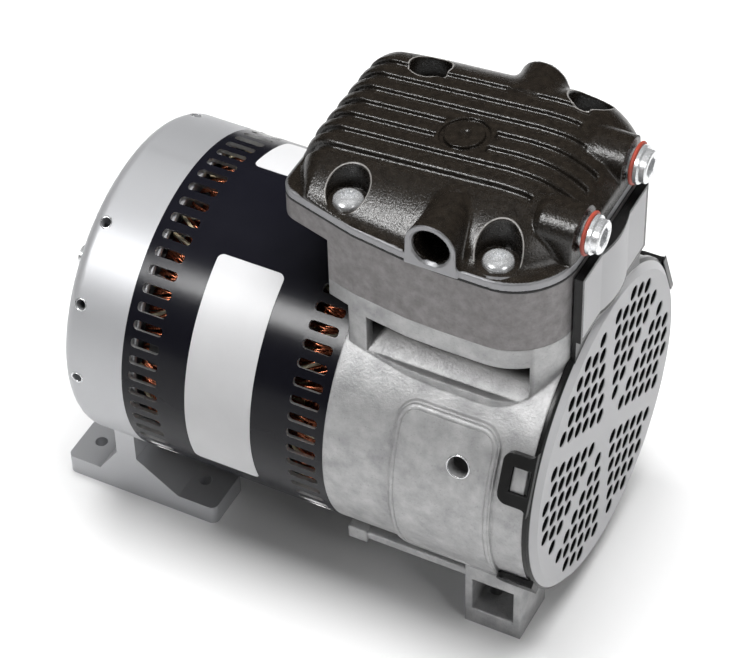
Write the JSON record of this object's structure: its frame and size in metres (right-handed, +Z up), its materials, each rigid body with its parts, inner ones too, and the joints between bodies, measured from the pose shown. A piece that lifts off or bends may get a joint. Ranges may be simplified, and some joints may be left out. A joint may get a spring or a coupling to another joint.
{
  "type": "rocking piston air compressor",
  "caption": "Oil-free rocking piston air compressor with a slotted black motor, cast case and feet, ribbed black head and a perforated front cover",
  "frame": {"origin": "on the floor plane under the middle of the machine's length and width", "axes": "+X along the motor shaft towards the perforated front cover, +Y across to the far side, +Z up"},
  "size_m": [0.2186, 0.1374, 0.2007],
  "materials": {
    "cast": "as-cast, matt grey, slightly mottled",
    "cast_dark": "as-cast, darker grey",
    "machined": "fine turned satin aluminium",
    "black_paint": "glossy black coating",
    "lamination": "varnished steel sheets",
    "copper_wire": "varnished copper wire",
    "liner": "cream insulating sheet",
    "black_plastic": "moulded black plastic",
    "black_rubber": "matt black",
    "zinc": "bright zinc plate",
    "red_rubber": "red gasket",
    "cover": "satin moulded cover, pale face and black edges",
    "steel": "ground steel",
    "label": "blank white film",
    "cup": "filled low-friction plastic"
  },
  "bodies": {
    "frame": {"crankcase": "cast", "rear_end_bell": "machined", "motor_shell": "black_paint", "stator_core": "lamination", "rear_winding": "copper_wire", "front_winding": "copper_wire", "slot_insulation": "liner", "thermal_protector": "black_plastic", "cylinder_sleeve": "machined", "sleeve_seal": "black_rubber", "valve_plate": "cast_dark", "head_gasket": "black_rubber", "cylinder_head": "black_paint", "head_screws": "zinc", "port_plugs": "zinc", "plug_gaskets": "red_rubber", "fan_cover": "cover", "front_bearing_outer": "steel", "rear_bearing_outer": "steel", "wave_washer": "steel", "through_bolts": "zinc", "side_label": "label", "top_label": "label", "valve_stop": "steel", "valve_screws": "zinc"},
    "rotor": {"shaft": "steel", "rotor_core": "lamination", "rotor_end_rings": "cast", "eccentric": "steel", "eccentric_screw": "steel", "front_fan": "black_plastic", "fan_clip": "steel", "front_bearing_inner": "steel", "rear_bearing_inner": "steel", "rod_bearing_inner": "steel"},
    "rod": {"rod_bearing_outer": "steel", "connecting_rod": "cast", "cup_seal": "cup", "cup_retainer": "machined", "retainer_screw": "steel"},
    "intake_reed": {"intake_reed": "steel"},
    "exhaust_reed": {"exhaust_reed": "steel"}
  },
  "joints": [
    {"name": "crank_spin", "type": "hinge", "parent": "frame", "child": "rotor", "pos_m": [0, 0, 0.075], "axis": [1, 0, 0], "continuous": true},
    {"name": "rod_spin", "type": "hinge", "parent": "rotor", "child": "rod", "pos_m": [0.04525, 0, 0.07905], "axis": [1, 0, 0], "continuous": true},
    {"name": "intake_reed_flex", "type": "hinge", "parent": "frame", "child": "intake_reed", "pos_m": [0.02815, -0.012, 0.1677], "axis": [0, 1, 0], "range_deg": [0, 3], "stiffness_Nm_per_rad": 0.02},
    {"name": "exhaust_reed_flex", "type": "hinge", "parent": "frame", "child": "exhaust_reed", "pos_m": [0.02815, 0.012, 0.1773], "axis": [0, 1, 0], "range_deg": [-3, 0], "stiffness_Nm_per_rad": 0.02}
  ],
  "couplings": [
    {"joint": "rod_spin", "follows": "crank_spin", "ratio": -1}
  ]
}
